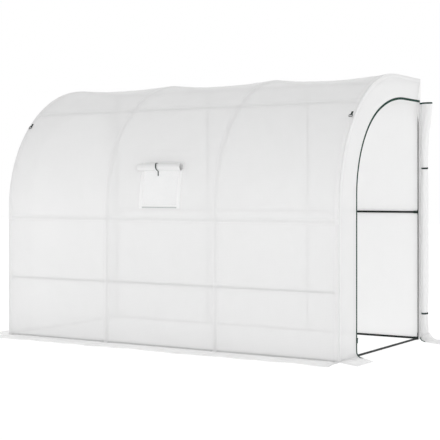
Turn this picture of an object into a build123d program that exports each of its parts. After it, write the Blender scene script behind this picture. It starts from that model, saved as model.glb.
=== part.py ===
from build123d import *
import math
import os

# Walk-in lean-to greenhouse: a bent steel tube frame under a translucent film cover.
# Millimetres, +X along the house, +Y towards the wall it leans on, +Z up.
# The origin is on the ground, under the middle of the whole outline.

# Frame
hoop_count = 4
bay = 1000.0  # spacing of the hoops
depth = 1470.0  # front leg axis to back post axis
arc_z = 1055.0  # height where the front starts to curve
roof_radius = 1020.0  # bend of the roof tube, at its axis
tube_d = 16.0
tube_wall = 1.0
low_rail_z = 482.0
mid_rail_z = 973.0
back_rail_z = 1020.0
purlin_angle = 49.4  # degrees up the bend
tube_stop = 12.0  # from a joint's centre to the end of each tube in it

# Push-fit connectors
connector_wall = 2.2
connector_arm = 42.0
saddle_arm = 20.0  # half the sleeve on a tube that runs through
socket_gap = 0.2
saddle_gap = 0.45  # the sleeve also slides over the bend

# Film cover
film = 1.0
film_gap = 0.6  # film to the widest part of the connectors
roof_sag = 34.0  # dip of the roof half-way between two hoops
rise_share = 0.62  # of that dip, half-way from the purlin to the crown
level_share = 0.12  # of that dip, below the chord from the crown to the back edge
front_skirt = 225.0
front_skirt_flare = 28.0
end_skirt = 178.0
end_skirt_forward = 84.0
end_skirt_back = 110.0

# Door openings, one in each end
door_front = 275.0  # front leg axis to the opening
door_back = 8.0  # opening to the back post axis
door_shoulder = 712.0  # radius of the arch's lower part
door_crown = 1081.0  # radius of its flatter upper part
door_turn = 64.5  # degrees of arch up to where the two meet
door_top_z = 1901.0
zip_width = 13.0
zip_thick = 1.4
zip_start_z = 4.0

# Rolled doors, tied beside the back posts
roll_out = 27.0  # back post axis to the roll
roll_forward = 21.0  # back post axis to the roll's axis
roll_r = 32.0
roll_pinch_r = 26.0  # where a tie draws it in
roll_top_z = 1894.0
roll_top_wide = 50.0  # half its width at the top
roll_top_deep = 25.0
roll_draw = 160.0  # length over which a tie draws it in
roll_base_z = 2.2
roll_lobes = 6
lobe_depth = 0.07  # of the roll's radius
tie_low_z = 215.0
tie_high_z = 1370.0
tie_height = 12.0
tie_thick = 1.6
tie_slack = 0.8
soft_gap = 0.3
door_foot_reach = 270.0  # back post axis to the end of the flap on the ground
door_foot_forward = 245.0
door_waist_reach = 135.0  # where the flap's front edge turns, out from the post
door_waist_forward = 147.0
door_foot_side = 75.0
door_foot_heel = 190.0
door_film = 1.2

# Zip sliders and pulls
slider_z = 130.0
slider_wide = 12.0
slider_tall = 24.0
slider_thick = 4.0
lug_wide = 2.0
lug_tall = 6.0
pin_r = 1.4
pin_gap = 0.05
eye_wall = 1.1
pull_wide = 7.0
pull_long = 34.0
pull_thick = 2.2

# Window in the middle of the front
window_wide = 372.0
window_low_z = 1056.0
window_high_z = 1406.0
border = 26.0
border_thick = 1.5
net_columns = 17
net_rows = 16
net_rib = 4.0
net_thick = 1.0
strip_up = 2.0  # border's lower edge to the closing strip
strip_tall = 10.0
strip_thick = 1.0
flap_roll_r = 31.0
flap_turns = 3
flap_film = 1.8
flap_side = 8.0  # how far the flap stands past the border at each side
flap_drop = 16.0  # top of the window to the top of the roll
window_tie_wide = 14.0
window_tie_thick = 1.5

# Guy rings on the roof
ring_in = 14.0  # end hoop to ring
ring_angle = 40.8  # degrees up the bend
ring_wide = 26.0
ring_long = 22.0
ring_wire = 4.0
ring_bend = 6.0
ring_lift = 6.0
tab_wide = 14.0
tab_long = 34.0
tab_thick = 1.6
loop_wall = 1.4

# Sizes that follow
overcut = 1.0  # how far a cutter stands past what it cuts
tube_r = tube_d / 2
connector_r = tube_r + socket_gap + connector_wall
saddle_r = tube_r + saddle_gap + connector_wall
film_in = max(connector_r, saddle_r) + film_gap
film_out = film_in + film
half_length = bay * (hoop_count - 1) / 2
hoop_xs = [bay * i - half_length for i in range(hoop_count)]
end_face = half_length + film_out
leg_y = (front_skirt - depth) / 2
post_y = leg_y + depth
arc_y = leg_y + roof_radius
top_z = arc_z + roof_radius
base_z = max(connector_r, saddle_r)
roof_out = roof_radius + film_out
window_face = roof_out + soft_gap + border_thick

os.makedirs("parts", exist_ok=True)


def save(name, *solids):
    shape = solids[0] if len(solids) == 1 else Compound(children=list(solids))
    export_step(shape, f"parts/{name}.step")


def rod(start, end, radius):
    run = Vector(*end) - Vector(*start)
    return Solid.make_cylinder(radius, run.length, Plane(origin=start, z_dir=run))


def tube(start, end):
    return rod(start, end, tube_r) - rod(start, end, tube_r - tube_wall)


def block(low, high):
    size = [b - a for a, b in zip(low, high)]
    middle = [(a + b) / 2 for a, b in zip(low, high)]
    return Pos(*middle) * Box(*size)


def upright(outline, x0, x1):
    """A face drawn in Y and Z, given thickness along X."""
    return extrude(Plane(origin=(x0, 0, 0), x_dir=(0, 1, 0), z_dir=(1, 0, 0)) * outline, x1 - x0)


def flat(points, z0, z1):
    return extrude(Plane.XY.offset(z0) * make_face(Polyline(*points, close=True)), z1 - z0)


def on_bend(radius, degrees, x=0.0):
    turn = math.radians(degrees)
    return Vector(x, arc_y - radius * math.cos(turn), arc_z + radius * math.sin(turn))


def bend_shell(r0, r1, low, high, x0, x1):
    """A piece of the bend's shell between two radii and two angles."""
    def edge(radius, first, last):
        return ThreePointArc(*[tuple(on_bend(radius, a))[1:] for a in (first, (first + last) / 2, last)])

    outer = edge(r1, low, high)
    inner = edge(r0, high, low)
    sides = [Line(outer @ 1, inner @ 0), Line(inner @ 1, outer @ 0)]
    return upright(make_face([outer, sides[0], inner, sides[1]]), x0, x1)


def both_ends(name, *solids):
    save(f"right_{name}", *solids)
    save(f"left_{name}", *[mirror(s, about=Plane.YZ) for s in solids])


# Connectors: round arms that meet at a point, each with a socket, or a sleeve on a tube that runs through
def connector(place, sockets, through=None):
    place = Vector(*place)
    runs = [Vector(*d) for d in sockets]
    arms = [rod(place, place + run * connector_arm, connector_r) for run in runs]
    mouth = connector_arm + overcut
    holes = [rod(place + run * tube_stop, place + run * mouth, tube_r + socket_gap) for run in runs]
    if through:
        reach = Vector(*through) * saddle_arm
        past = Vector(*through) * (saddle_arm + overcut)
        arms.append(rod(place - reach, place + reach, saddle_r))
        holes.append(rod(place - past, place + past, tube_r + saddle_gap))
    else:
        arms.append(Pos(*place) * Sphere(connector_r))
    body = arms[0].fuse(*arms[1:])
    return body.cut(*holes)


def along(i):
    """Directions of the rails that leave hoop i."""
    sides = [(-1, 0, 0), (1, 0, 0)]
    if i == 0:
        return sides[1:]
    if i == hoop_count - 1:
        return sides[:1]
    return sides


def is_end(i):
    return i in (0, hoop_count - 1)


up, down, back, front = (0, 0, 1), (0, 0, -1), (0, 1, 0), (0, -1, 0)
purlin = on_bend(roof_radius, purlin_angle)
purlin_turn = math.radians(purlin_angle)
purlin_run = (0, math.sin(purlin_turn), math.cos(purlin_turn))

feet, corners, low_joints, mid_joints, roof_joints, back_joints = [], [], [], [], [], []
for i, x in enumerate(hoop_xs):
    feet.append(connector((x, leg_y, base_z), [up] + along(i) + ([back] if is_end(i) else [])))
    feet.append(connector((x, post_y, base_z), [up] + along(i) + ([front] if is_end(i) else [])))
    corners.append(connector((x, post_y, top_z), [down, front] + along(i)))
    mid_joints.append(connector((x, leg_y, mid_rail_z), [up, down] + along(i)))
    low_joints.append(connector((x, leg_y, low_rail_z), along(i), up))
    back_joints.append(connector((x, post_y, back_rail_z), along(i), up))
    roof_joints.append(connector((x, purlin.Y, purlin.Z), along(i), purlin_run))
save("foot_connectors", *feet)
save("corner_connectors", *corners)
save("low_rail_connectors", *low_joints)
save("mid_rail_connectors", *mid_joints)
save("roof_rail_connectors", *roof_joints)
save("back_rail_connectors", *back_joints)

# Hoops: front leg, bent roof tube and back post
ring = Circle(tube_r) - Circle(tube_r - tube_wall)
for i, x in enumerate(hoop_xs, 1):
    save(f"front_leg_{i}", tube((x, leg_y, base_z + tube_stop), (x, leg_y, mid_rail_z - tube_stop)))
    save(f"back_post_{i}", tube((x, post_y, base_z + tube_stop), (x, post_y, top_z - tube_stop)))
    foot = (x, leg_y, mid_rail_z + tube_stop)
    rise = Line(foot, on_bend(roof_radius, 0, x))
    bend = ThreePointArc(*[on_bend(roof_radius, a, x) for a in (0, 45, 90)])
    level = Line(on_bend(roof_radius, 90, x), (x, post_y - tube_stop, top_z))
    save(f"roof_tube_{i}", sweep(Plane(origin=foot, z_dir=up) * ring, path=Wire([rise, bend, level])))

# Rails, one tube to each bay
rail_lines = {
    "front_low_rail": (leg_y, low_rail_z),
    "front_mid_rail": (leg_y, mid_rail_z),
    "roof_rail": (purlin.Y, purlin.Z),
    "back_top_rail": (post_y, top_z),
}
grouped_lines = {
    "front_base_rails": (leg_y, base_z),
    "back_base_rails": (post_y, base_z),
    "back_mid_rails": (post_y, back_rail_z),
}


def bay_tubes(y, z):
    return [tube((x + tube_stop, y, z), (x + bay - tube_stop, y, z)) for x in hoop_xs[:-1]]


for name, (y, z) in rail_lines.items():
    for i, rail in enumerate(bay_tubes(y, z), 1):
        save(f"{name}_{i}", rail)
for name, (y, z) in grouped_lines.items():
    save(name, *bay_tubes(y, z))
both_ends(
    "threshold_tube",
    tube((half_length, leg_y + tube_stop, base_z), (half_length, post_y - tube_stop, base_z)),
)

# Window angles on the bend
def bend_angle(z, radius):
    return math.degrees(math.asin((z - arc_z) / radius))


def bend_degrees(length, radius):
    return math.degrees(length / radius)


window_low = bend_angle(window_low_z, roof_out)
window_high = bend_angle(window_high_z, roof_out)
border_turn = bend_degrees(border, roof_out)
hole_low = window_low + border_turn
hole_high = window_high - border_turn
hole_half = window_wide / 2 - border

# Main cover: skirt, front and roof in one film, with the roof dipping between hoops
def front_points(offset):
    radius = roof_radius + offset
    return [tuple(on_bend(radius, a))[1:] for a in (0, purlin_angle / 2, purlin_angle)]


outer_front = front_points(film_out)
inner_front = front_points(film_in)
front_outline = make_face([
    Line((leg_y - film_out, 0), outer_front[0]),
    ThreePointArc(*outer_front),
    Line(outer_front[2], inner_front[2]),
    ThreePointArc(*inner_front[::-1]),
    Line(inner_front[0], (leg_y - film_in, 0)),
    Line((leg_y - film_in, 0), (leg_y - film_out, 0)),
])
front_film = upright(front_outline, -end_face + film, end_face - film)
window_hole = bend_shell(roof_radius, roof_out + film, hole_low, hole_high, -hole_half, hole_half)
front_film = front_film - window_hole
skirt_edge = end_face - film
front_film = front_film + flat(
    [
        (-skirt_edge, leg_y - film_out),
        (-skirt_edge, leg_y - film_in),
        (skirt_edge, leg_y - film_in),
        (skirt_edge, leg_y - film_out),
        (skirt_edge + front_skirt_flare, leg_y - film_out - front_skirt),
        (-skirt_edge - front_skirt_flare, leg_y - film_out - front_skirt),
    ],
    0,
    film,
)


def roof_section(x, dip):
    """The roof film from the purlin to the back edge, cut across at x."""
    def line(offset):
        radius = roof_radius + offset
        start = on_bend(radius, purlin_angle, x)
        rise = on_bend(radius, (purlin_angle + 90) / 2, x) - Vector(0, 0, dip * rise_share)
        crown = on_bend(radius, 90, x) - Vector(0, 0, dip)
        end = Vector(x, post_y + film_out, top_z + offset)
        half = (crown + end) / 2 - Vector(0, 0, dip * level_share)
        level = ThreePointArc(crown, half, end) if dip else Line(crown, end)
        return ThreePointArc(start, rise, crown), level

    top = line(film_out)
    under = line(film_in)
    caps = [Line(top[1] @ 1, under[1] @ 1), Line(under[0] @ 0, top[0] @ 0)]
    return make_face([*top, caps[0], *under, caps[1]])


stations = [(-end_face + film, 0.0)]
for left, right in zip(hoop_xs, hoop_xs[1:]):
    stations += [((left + right) / 2, roof_sag), (right, 0.0)]
stations[-1] = (end_face - film, 0.0)
roof_films = [
    loft([roof_section(*stations[k + n]) for n in range(3)]) for k in range(0, len(stations) - 2, 2)
]
main_cover = front_film.fuse(*roof_films)
save("main_cover", main_cover)

back_film = block(
    (-end_face + film, post_y + film_in, 0),
    (end_face - film, post_y + film_out, top_z + film_in - soft_gap),
)
save("back_cover", back_film)

# End panels, each with a door opening and a short skirt beside it
def door_outline(grow):
    meet = math.radians(door_turn)
    change = door_crown - door_shoulder
    shoulder_y = leg_y + door_front + door_shoulder
    crown_z = door_top_z - door_crown
    shoulder = (shoulder_y, crown_z + change * math.sin(meet), door_shoulder)
    crown = (shoulder_y + change * math.cos(meet), crown_z, door_crown)

    def on_arch(part, turn):
        y, z, radius = part
        return (y - (radius + grow) * math.cos(turn), z + (radius + grow) * math.sin(turn))

    spring, joint, top = on_arch(shoulder, 0), on_arch(shoulder, meet), on_arch(crown, math.pi / 2)
    last_y = post_y - door_back
    return make_face([
        Line((spring[0], -grow), spring),
        ThreePointArc(spring, on_arch(shoulder, meet / 2), joint),
        ThreePointArc(joint, on_arch(crown, (meet + math.pi / 2) / 2), top),
        Line(top, (last_y, top[1])),
        Line((last_y, top[1]), (last_y, -grow)),
        Line((last_y, -grow), (spring[0], -grow)),
    ])


panel_outline = make_face([
    Line((leg_y - film_out, 0), (leg_y - film_out, arc_z)),
    ThreePointArc(*[tuple(on_bend(roof_out, a))[1:] for a in (0, 45, 90)]),
    Line((arc_y, arc_z + roof_out), (post_y + film_out, arc_z + roof_out)),
    Line((post_y + film_out, arc_z + roof_out), (post_y + film_out, 0)),
    Line((post_y + film_out, 0), (leg_y - film_out, 0)),
])
panel = upright(panel_outline - door_outline(0), end_face - film, end_face)
panel_skirt = flat(
    [
        (end_face - film, leg_y - film_out),
        (end_face + end_skirt, leg_y - film_out - end_skirt_forward),
        (end_face + end_skirt, leg_y + door_front - end_skirt_back),
        (end_face - film, leg_y + door_front),
    ],
    0,
    film,
)
both_ends("end_panel", panel + panel_skirt)

# Zip tape round each opening
zip_band = upright(door_outline(zip_width) - door_outline(0), end_face, end_face + zip_thick)
below_zip = block(
    (end_face - overcut, leg_y, -zip_width - overcut), (end_face + zip_thick + overcut, post_y, zip_start_z)
)
both_ends("zip_tape", zip_band - below_zip)

# Zip sliders with a swinging pull
slider_y = leg_y + door_front - zip_width / 2
slider_x = end_face + zip_thick + soft_gap
eye_r = pin_r + pin_gap + eye_wall
pin_x = slider_x + slider_thick + eye_r + soft_gap
pin_z = slider_z + slider_tall / 2 - lug_tall / 2
lug_y = pull_wide / 2 + soft_gap
slider_body = block(
    (slider_x, slider_y - slider_wide / 2, slider_z - slider_tall / 2),
    (slider_x + slider_thick, slider_y + slider_wide / 2, slider_z + slider_tall / 2),
)
slider_body = fillet(slider_body.edges().filter_by(Axis.X), slider_wide / 4)
slider_lugs = [
    block(
        (slider_x + slider_thick / 2, y, pin_z - lug_tall / 2),
        (pin_x + eye_r, y + lug_wide, pin_z + lug_tall / 2),
    )
    for y in (slider_y - lug_y - lug_wide, slider_y + lug_y)
]


def pin_rod(half, radius):
    return rod((pin_x, slider_y - half, pin_z), (pin_x, slider_y + half, pin_z), radius)


slider_pin = pin_rod(lug_y + lug_wide, pin_r)
both_ends("zip_slider", slider_body + slider_lugs[0] + slider_lugs[1] + slider_pin)

pull_tab = block(
    (pin_x - pull_thick / 2, slider_y - pull_wide / 2, pin_z - pull_long),
    (pin_x + pull_thick / 2, slider_y + pull_wide / 2, pin_z),
)
pull_tab = fillet(pull_tab.edges().filter_by(Axis.X).group_by(Axis.Z)[0], pull_wide / 3)
pull_eye = pin_rod(pull_wide / 2, eye_r)
both_ends("zip_pull", pull_tab + pull_eye - pin_rod(pull_wide, pin_r + pin_gap))

# Rolled doors: a lobed bundle, drawn in by two ties, with its foot spread on the ground
roll_in = half_length + roll_out
roll_y = post_y - roll_forward


def lobed_outline(z, wide, deep):
    step = 2 * math.pi / roll_lobes
    middle = roll_in + max(wide, roll_r)

    def at(k, reach):
        return (middle + wide * reach * math.cos(k * step), roll_y + deep * reach * math.sin(k * step), z)

    valley = 1 - lobe_depth
    return make_face([
        ThreePointArc(at(k, valley), at(k + 0.5, 1), at(k + 1, valley)) for k in range(roll_lobes)
    ])


def drawn_in(z):
    near = min(abs(z - tie) for tie in (tie_low_z, tie_high_z))
    share = min(near / roll_draw, 1)
    return roll_pinch_r + (roll_r - roll_pinch_r) * share**2 * (3 - 2 * share)


draw_steps = [k / 3 for k in range(-3, 4)]
roll_heights = [tie + k * roll_draw for tie in (tie_low_z, tie_high_z) for k in draw_steps]
roll_forms = [(roll_base_z, roll_r, roll_r)]
for z in sorted(roll_heights):
    if roll_base_z + tie_height < z < roll_top_z - tie_height:
        roll_forms.append((z, drawn_in(z), drawn_in(z)))
roll_forms.append((roll_top_z, roll_top_wide, roll_top_deep))
bundle = loft([lobed_outline(*form) for form in roll_forms], ruled=True)
door_foot = flat(
    [
        (roll_in + roll_r, roll_y + roll_r / 2),
        (roll_in + roll_r, roll_y - roll_r / 2),
        (half_length + door_waist_reach, post_y - door_waist_forward),
        (half_length + door_foot_reach, post_y - door_foot_forward),
        (half_length + door_foot_reach, post_y - door_foot_side),
        (half_length + door_foot_heel, post_y),
    ],
    roll_base_z,
    roll_base_z + door_film,
)
both_ends("door_roll", bundle + door_foot)


def door_tie(z):
    middle = roll_in + roll_r
    low, high = (middle, roll_y, z - tie_height / 2), (middle, roll_y, z + tie_height / 2)
    inner_r = roll_pinch_r + tie_slack
    return rod(low, high, inner_r + tie_thick) - rod(low, high, inner_r)


both_ends("door_ties", door_tie(tie_low_z), door_tie(tie_high_z))
# The film between the seam at the back post and the roll
sheet_y = post_y - door_back + soft_gap
sheet_off = sheet_y - roll_y
sheet_end = roll_in + roll_r - math.sqrt(roll_r**2 - sheet_off**2) - soft_gap
both_ends(
    "door_sheet",
    block(
        (end_face + soft_gap, sheet_y, zip_start_z),
        (sheet_end, sheet_y + door_film, tie_high_z + roll_draw),
    ),
)

# Window: border, net, closing strip, rolled flap and its tie
border_frame = bend_shell(
    roof_out + soft_gap, window_face, window_low, window_high, -window_wide / 2, window_wide / 2
) - bend_shell(roof_out - film, window_face + film, hole_low, hole_high, -hole_half, hole_half)
save("window_border", border_frame)

hole_chord = (on_bend(roof_out, hole_high) - on_bend(roof_out, hole_low)).length
hole_middle = (on_bend(roof_out, hole_high) + on_bend(roof_out, hole_low)) / 2
hole_turn = math.radians((hole_low + hole_high) / 2)
net_wide = 2 * (hole_half - soft_gap)
net_tall = hole_chord - 2 * soft_gap
net_plane = Plane(
    origin=hole_middle, x_dir=(1, 0, 0), z_dir=(0, -math.cos(hole_turn), math.sin(hole_turn))
)
net_step_x = (net_wide - net_rib) / net_columns
net_step_y = (net_tall - net_rib) / net_rows
net_holes = GridLocations(net_step_x, net_step_y, net_columns, net_rows) * Rectangle(
    net_step_x - net_rib, net_step_y - net_rib
)
net_face = Rectangle(net_wide, net_tall) - net_holes
save("window_net", extrude(net_plane * net_face, -net_thick))

strip_low = window_low + bend_degrees(strip_up, roof_out)
strip_high = strip_low + bend_degrees(strip_tall, roof_out)
strip_in = window_face + soft_gap
strip_out = strip_in + strip_thick
save("window_strip", bend_shell(strip_in, strip_out, strip_low, strip_high, -hole_half, hole_half))

flap_sheet_in = window_face + soft_gap
flap_sheet_out = flap_sheet_in + strip_thick
flap_axis_r = flap_sheet_out + window_tie_thick + 2 * soft_gap + flap_roll_r
flap_angle = window_high - bend_degrees(flap_drop + flap_roll_r, roof_out)
flap_half = window_wide / 2 + flap_side
save(
    "window_flap_sheet",
    bend_shell(flap_sheet_in, flap_sheet_out, flap_angle, window_high, -window_wide / 2, window_wide / 2),
)

flap_axis = on_bend(flap_axis_r, flap_angle)
half_pitch = flap_roll_r / (flap_turns + 0.5) / 2


def wound_edge(offset):
    """Half turns about two centres, each half a pitch wider than the last."""
    arcs = []
    radius = flap_roll_r - flap_film / 2
    centre = 0.0
    side = 1
    for _ in range(2 * flap_turns):
        r = radius + offset
        arcs.append(ThreePointArc((centre + side * r, 0), (centre, side * r), (centre - side * r, 0)))
        centre -= side * half_pitch
        radius -= half_pitch
        side = -side
    return arcs


outer_turns = wound_edge(flap_film / 2)
inner_turns = wound_edge(-flap_film / 2)
wound_face = make_face([
    *outer_turns,
    *inner_turns,
    Line(outer_turns[0] @ 0, inner_turns[0] @ 0),
    Line(outer_turns[-1] @ 1, inner_turns[-1] @ 1),
])
wound_plane = Plane(origin=(-flap_half, flap_axis.Y, flap_axis.Z), x_dir=(0, 1, 0), z_dir=(1, 0, 0))
save("window_flap_roll", extrude(wound_plane * wound_face, 2 * flap_half))

tie_ends = [(side * window_tie_wide / 2, flap_axis.Y, flap_axis.Z) for side in (-1, 1)]
tie_in = flap_roll_r + soft_gap
save("window_tie", rod(*tie_ends, tie_in + window_tie_thick) - rod(*tie_ends, tie_in))

# Guy rings, each on a sewn tab near an end hoop
ring_x = half_length - ring_in
ring_seat = on_bend(roof_out, ring_angle, ring_x)
slope = Plane(
    origin=ring_seat,
    x_dir=(1, 0, 0),
    z_dir=(0, -math.cos(math.radians(ring_angle)), math.sin(math.radians(ring_angle))),
)
wire_r = ring_wire / 2
bar_half = ring_wide / 2
ring_points = [
    (bar_half, 0, ring_lift),
    (bar_half, -ring_long, ring_lift),
    (-bar_half, -ring_long, ring_lift),
    (-bar_half, 0, ring_lift),
]
ring_corners = [slope.from_local_coords(p) for p in ring_points]
ring_path = FilletPolyline(*ring_corners, radius=ring_bend, close=True)
ring_start = Plane(origin=ring_path @ 0, z_dir=ring_path % 0)
both_ends("guy_ring", sweep(ring_start * Circle(wire_r), path=ring_path))

bore_r = wire_r + pin_gap
loop_r = bore_r + loop_wall
tab_half = tab_wide / 2
bar = [slope.from_local_coords((side * tab_half, 0, ring_lift)) for side in (-1, 1)]
patch = slope * Pos(0, tab_long / 2, soft_gap + tab_thick / 2) * Box(tab_wide, tab_long, tab_thick)
riser = slope * Pos(0, loop_r / 2, (soft_gap + ring_lift) / 2) * Box(tab_wide, loop_r, ring_lift - soft_gap)
tab = patch + riser + rod(*bar, loop_r) - rod(*bar, bore_r)
save("guy_tabs", tab, mirror(tab, about=Plane.YZ))
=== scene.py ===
import bpy
import math
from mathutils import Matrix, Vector, noise


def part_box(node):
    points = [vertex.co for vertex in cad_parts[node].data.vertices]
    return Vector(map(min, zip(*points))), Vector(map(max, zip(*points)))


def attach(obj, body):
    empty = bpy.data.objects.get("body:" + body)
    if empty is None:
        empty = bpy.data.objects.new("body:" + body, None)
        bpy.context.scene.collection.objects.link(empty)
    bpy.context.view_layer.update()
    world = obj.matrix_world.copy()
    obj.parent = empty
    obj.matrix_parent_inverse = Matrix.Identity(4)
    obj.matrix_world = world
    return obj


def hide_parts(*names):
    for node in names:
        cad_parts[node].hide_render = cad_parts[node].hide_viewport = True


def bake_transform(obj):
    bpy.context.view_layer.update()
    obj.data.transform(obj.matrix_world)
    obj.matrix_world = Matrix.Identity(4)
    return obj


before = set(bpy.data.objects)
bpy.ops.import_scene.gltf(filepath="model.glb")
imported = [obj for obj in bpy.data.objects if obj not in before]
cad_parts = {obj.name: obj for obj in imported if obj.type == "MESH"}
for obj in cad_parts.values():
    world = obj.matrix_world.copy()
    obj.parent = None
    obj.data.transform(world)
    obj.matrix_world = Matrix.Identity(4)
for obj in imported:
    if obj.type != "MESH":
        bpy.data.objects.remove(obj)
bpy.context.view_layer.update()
print("frame loaded:", len(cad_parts), "nodes")

smoothAngle = 50.0


# Small helpers
def clearSelection():
    bpy.ops.object.select_all(action="DESELECT")


def pick(piece):
    clearSelection()
    piece.select_set(True)
    bpy.context.view_layer.objects.active = piece


def named(piece, name):
    piece.name = piece.data.name = name
    return piece


def ease(t):
    t = min(max(t, 0.0), 1.0)
    return t * t * (3 - 2 * t)


def lerp(a, b, t):
    return a + (b - a) * t


def stops(*marks):
    # marks are (value, steps up to it), so that rows land on the values that matter
    values = [marks[0][0]]
    for (low, _), (high, steps) in zip(marks, marks[1:]):
        values += [lerp(low, high, (k + 1) / steps) for k in range(steps)]
    return values


def curveAt(table, value):
    # a smooth line through (value, height) pairs
    for (a, ha), (b, hb) in zip(table, table[1:]):
        if value <= b:
            return lerp(ha, hb, ease((value - a) / (b - a)))
    return table[-1][1]


def ripple(place, size, height=1.0):
    return noise.noise(Vector(place) / size) * height


def waves(field, a, b):
    # smooth noise over a cloth, stretched and slanted, in a layer of its own
    stretchA, stretchB = field["stretch"]
    return ripple((a * stretchA + b * field.get("slant", 0.0), b * stretchB, field["layer"]), field["size"])


def gridPiece(name, across, along, place, cloth=lambda a, b: (a, b)):
    # a grid whose corners are set one by one, with a UV map in metres of cloth
    clearSelection()
    columns, rows = len(across) - 1, len(along) - 1
    bpy.ops.mesh.primitive_grid_add(x_subdivisions=columns, y_subdivisions=rows, size=2)
    piece = named(bpy.context.object, name)
    mesh = piece.data
    spots = []
    for vertex in mesh.vertices:
        column, row = round((vertex.co.x + 1) / 2 * columns), round((vertex.co.y + 1) / 2 * rows)
        spot = (across[column], along[row])
        spots.append(spot)
        vertex.co = place(*spot)
    for loop in mesh.loops:
        mesh.uv_layers.active.data[loop.index].uv = cloth(*spots[loop.vertex_index])
    return piece


def useModifier(piece, kind, **settings):
    pick(piece)
    modifier = piece.modifiers.new(kind.title(), kind)
    for key, value in settings.items():
        setattr(modifier, key, value)
    bpy.ops.object.modifier_apply(modifier=modifier.name)


def thicken(piece, thickness):
    # the grid is the inner face, and the wall grows outwards
    useModifier(piece, "SOLIDIFY", thickness=thickness, offset=1.0)
    pick(piece)
    bpy.ops.object.shade_smooth_by_angle(angle=math.radians(smoothAngle))


def cutFaces(piece, inside):
    pick(piece)
    bpy.ops.object.mode_set(mode="EDIT")
    bpy.ops.mesh.select_mode(type="FACE")
    bpy.ops.mesh.select_all(action="DESELECT")
    bpy.ops.object.mode_set(mode="OBJECT")
    for face in piece.data.polygons:
        face.select = inside(face.center)
    bpy.ops.object.mode_set(mode="EDIT")
    bpy.ops.mesh.delete(type="FACE")
    bpy.ops.object.mode_set(mode="OBJECT")


def mirrored(piece):
    # the same piece at the left end
    pick(piece)
    bpy.ops.object.duplicate()
    twin = named(bpy.context.object, piece.name.replace("right", "left"))
    for vertex in twin.data.vertices:
        vertex.co.x = -vertex.co.x
    bpy.ops.object.mode_set(mode="EDIT")
    bpy.ops.mesh.select_all(action="SELECT")
    bpy.ops.mesh.flip_normals()
    bpy.ops.object.mode_set(mode="OBJECT")
    return twin


def bothEnds(piece):
    # the right piece and its twin, with their ends' names
    return (("right", piece), ("left", mirrored(piece)))


def joined(name, pieces):
    clearSelection()
    for piece in pieces:
        piece.select_set(True)
    bpy.context.view_layer.objects.active = pieces[0]
    bpy.ops.object.join()
    return named(bpy.context.object, name)


def fitted(piece, body, node):
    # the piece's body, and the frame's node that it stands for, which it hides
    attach(piece, body)
    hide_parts(node)


# Places read from the frame
def middle(node, axis):
    low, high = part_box(node)
    return (low[axis] + high[axis]) / 2


house = {"hoops": 4, "bendRadius": 1.020, "frontSkirt": 0.225}
hoopXs = [middle(f"front_leg_{k + 1}", 0) for k in range(house["hoops"])]
legY, postY = middle("front_leg_1", 1), middle("back_post_1", 1)
lowRailZ, midRailZ = middle("front_low_rail_1", 2), middle("front_mid_rail_1", 2)
topZ, backRailZ = middle("back_top_rail_1", 2), middle("back_mid_rails", 2)
purlinY, purlinZ = middle("roof_rail_1", 1), middle("roof_rail_1", 2)
backBox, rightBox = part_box("back_cover"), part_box("right_end_panel")
bay = hoopXs[1] - hoopXs[0]
bendR = house["bendRadius"]
bendY, bendZ = legY + bendR, topZ - bendR
filmIn = backBox[0][1] - postY
film = backBox[1][1] - backBox[0][1]
panelX = rightBox[0][0]
# lengths along the section, from the ground up the front and over the roof
crownS = bendZ + bendR * math.pi / 2
purlinS = bendZ + bendR * math.atan2(purlinZ - bendZ, bendY - purlinY)
backS = crownS + postY + filmIn - bendY
skirtLong = house["frontSkirt"]


def section(s, off):
    # the tubes' own line at s along it from the ground, moved outwards by off
    if s <= bendZ:
        return legY - off, s
    turn = (s - bendZ) / bendR
    if s <= crownS:
        return bendY - (bendR + off) * math.cos(turn), bendZ + (bendR + off) * math.sin(turn)
    return bendY + s - crownS, topZ + off


def onBend(radius, turn, x=0.0):
    return Vector((x, bendY - radius * math.cos(turn), bendZ + radius * math.sin(turn)))


# Materials
def linear(hexColour):
    parts = [int(hexColour[k:k + 2], 16) / 255 for k in (1, 3, 5)]
    return tuple(p / 12.92 if p <= 0.04045 else ((p + 0.055) / 1.055) ** 2.4 for p in parts) + (1.0,)


def perMetre(millimetres):
    return 1000.0 / millimetres


def addNode(tree, kind, props=None, values=None, links=None):
    node = tree.nodes.new("ShaderNode" + kind)
    for name, value in (props or {}).items():
        setattr(node, name, value)
    for name, value in (values or {}).items():
        node.inputs[name].default_value = value
    for name, source in (links or {}).items():
        tree.links.new(source, node.inputs[name])
    return node


def calc(tree, operation, *inputs):
    # a math node, fed with sockets and plain numbers
    node = addNode(tree, "Math", {"operation": operation})
    for k, given in enumerate(inputs):
        if isinstance(given, (int, float)):
            node.inputs[k].default_value = given
        else:
            tree.links.new(given, node.inputs[k])
    return node.outputs[0]


def noiseAt(tree, place, sizeMm, detail):
    values = {"Scale": perMetre(sizeMm), "Detail": detail}
    return addNode(tree, "TexNoise", {}, values, {"Vector": place}).outputs["Fac"]


def ribsAt(tree, place, look):
    # a wave texture runs through 20 radians in a unit
    values = {"Scale": perMetre(look["ribMm"]) / 20, "Distortion": look["ribBend"],
              "Detail": look["ribDetail"]}
    ribs = addNode(tree, "TexWave", {"bands_direction": look["ribs"]}, values, {"Vector": place})
    return ribs.outputs["Fac"]


def mixColours(tree, look, share):
    # a mix node's colour sockets go by number: 6 and 7 in, 2 out
    ends = {6: linear(look["colour"]), 7: linear(look["pale"])}
    return addNode(tree, "Mix", {"data_type": "RGBA"}, ends, {0: share}).outputs[2]


def bumped(tree, look, height):
    values = {"Strength": look["bump"], "Distance": look["bumpMm"] / 1000}
    return addNode(tree, "Bump", {}, values, {"Height": height}).outputs["Normal"]


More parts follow.
